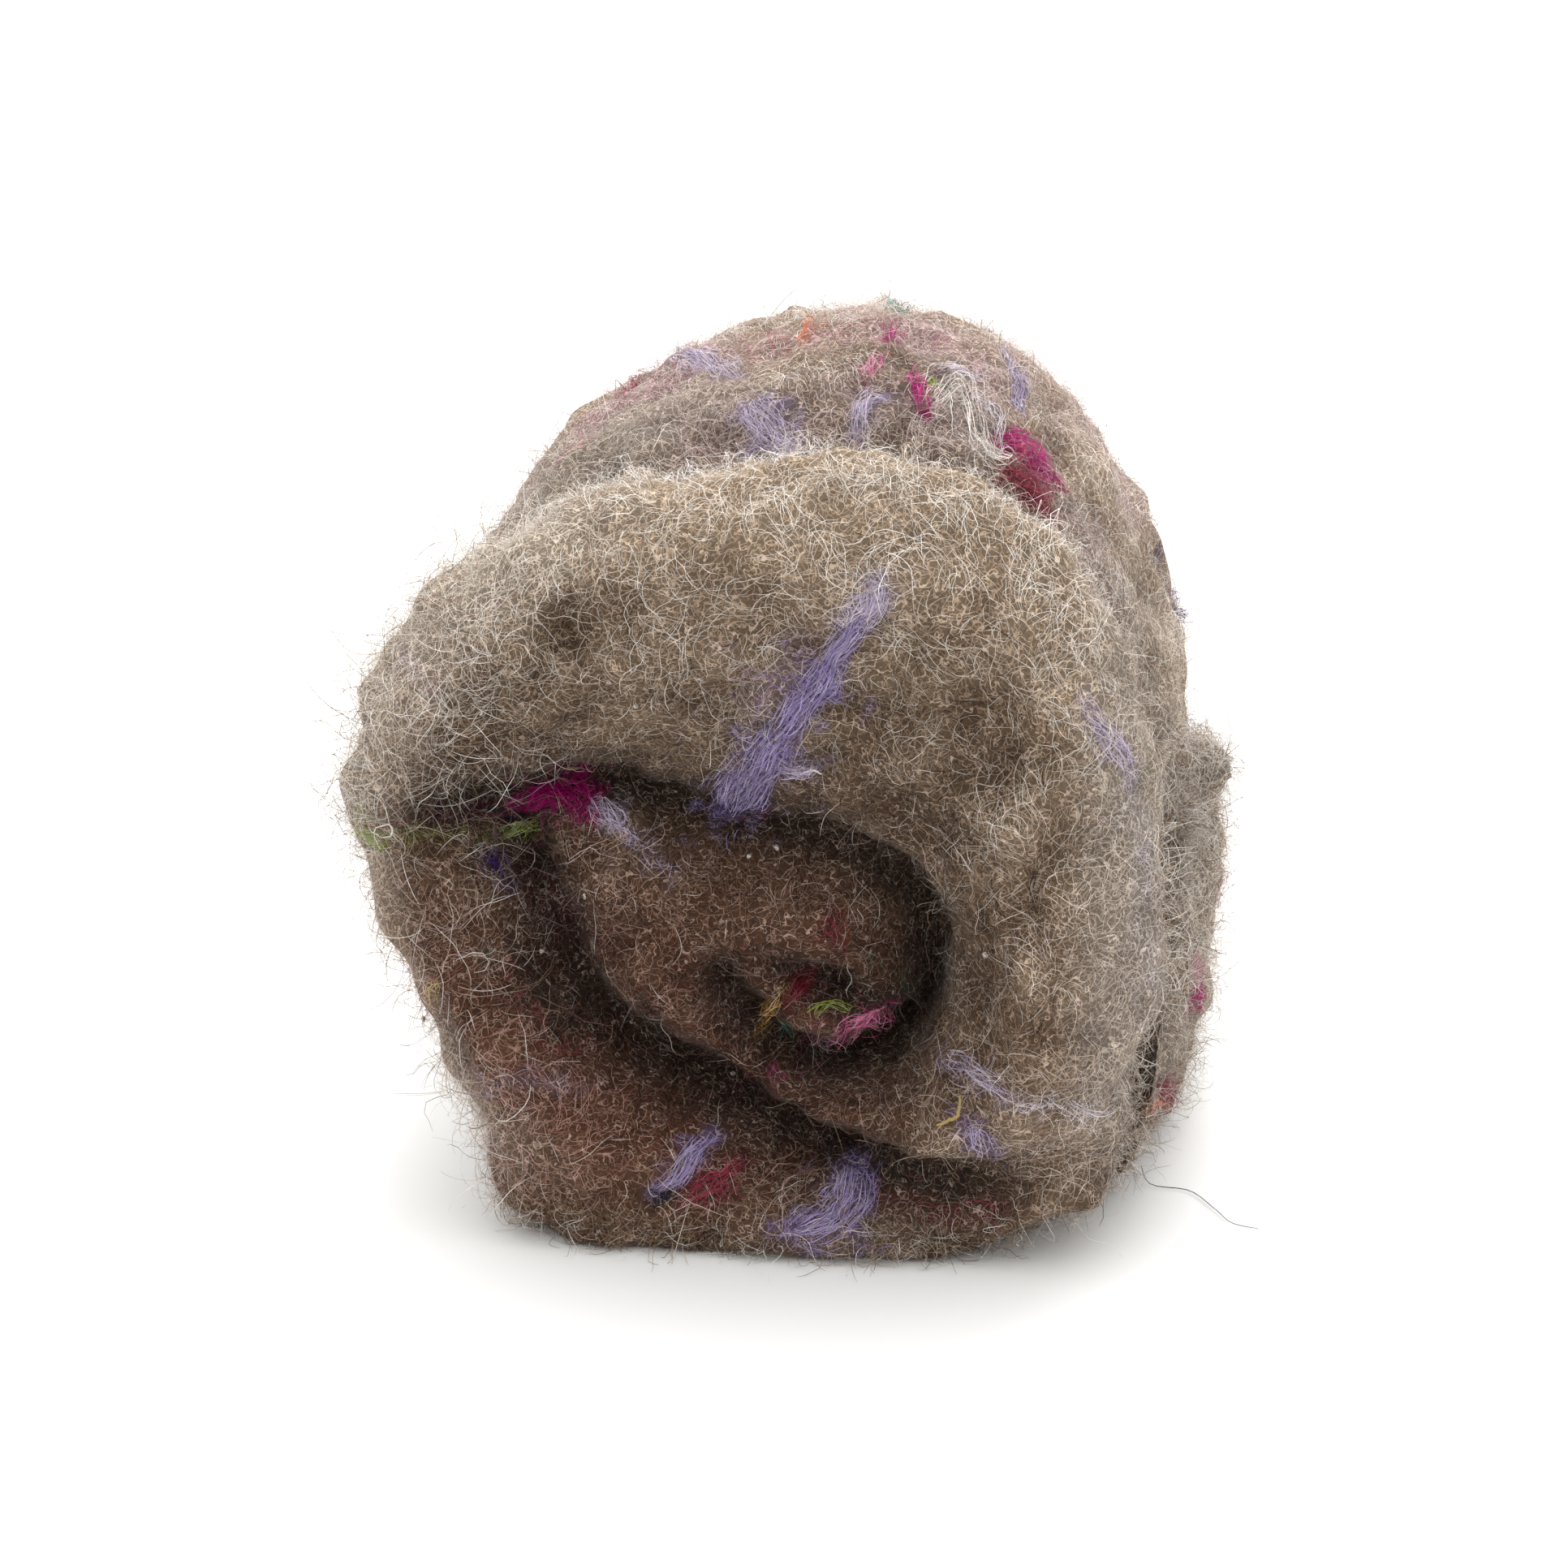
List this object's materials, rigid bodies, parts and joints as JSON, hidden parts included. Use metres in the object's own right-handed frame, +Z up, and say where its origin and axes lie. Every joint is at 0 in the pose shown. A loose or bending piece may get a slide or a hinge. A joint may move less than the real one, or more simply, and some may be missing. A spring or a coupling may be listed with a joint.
{
  "type": "rolled carded fibre batt",
  "caption": "Carded wool batt rolled into a thick loose spiral on its side, with puffy turns, a stepped rear wrap and a torn loose outer end, for spinning or felting.",
  "frame": {"origin": "the middle of the footprint, on the plane that the roll lies on", "axes": "+Z is up, +Y runs along the roll away from the end with the open spiral, +X is to the right as that end is faced"},
  "size_m": [0.1358, 0.1698, 0.1398],
  "materials": {
    "carded_wool": "matt, fuzzy, fine crimped fibres"
  },
  "bodies": {
    "root": {"batt_roll": "carded_wool", "loose_end": "carded_wool"}
  },
  "joints": []
}
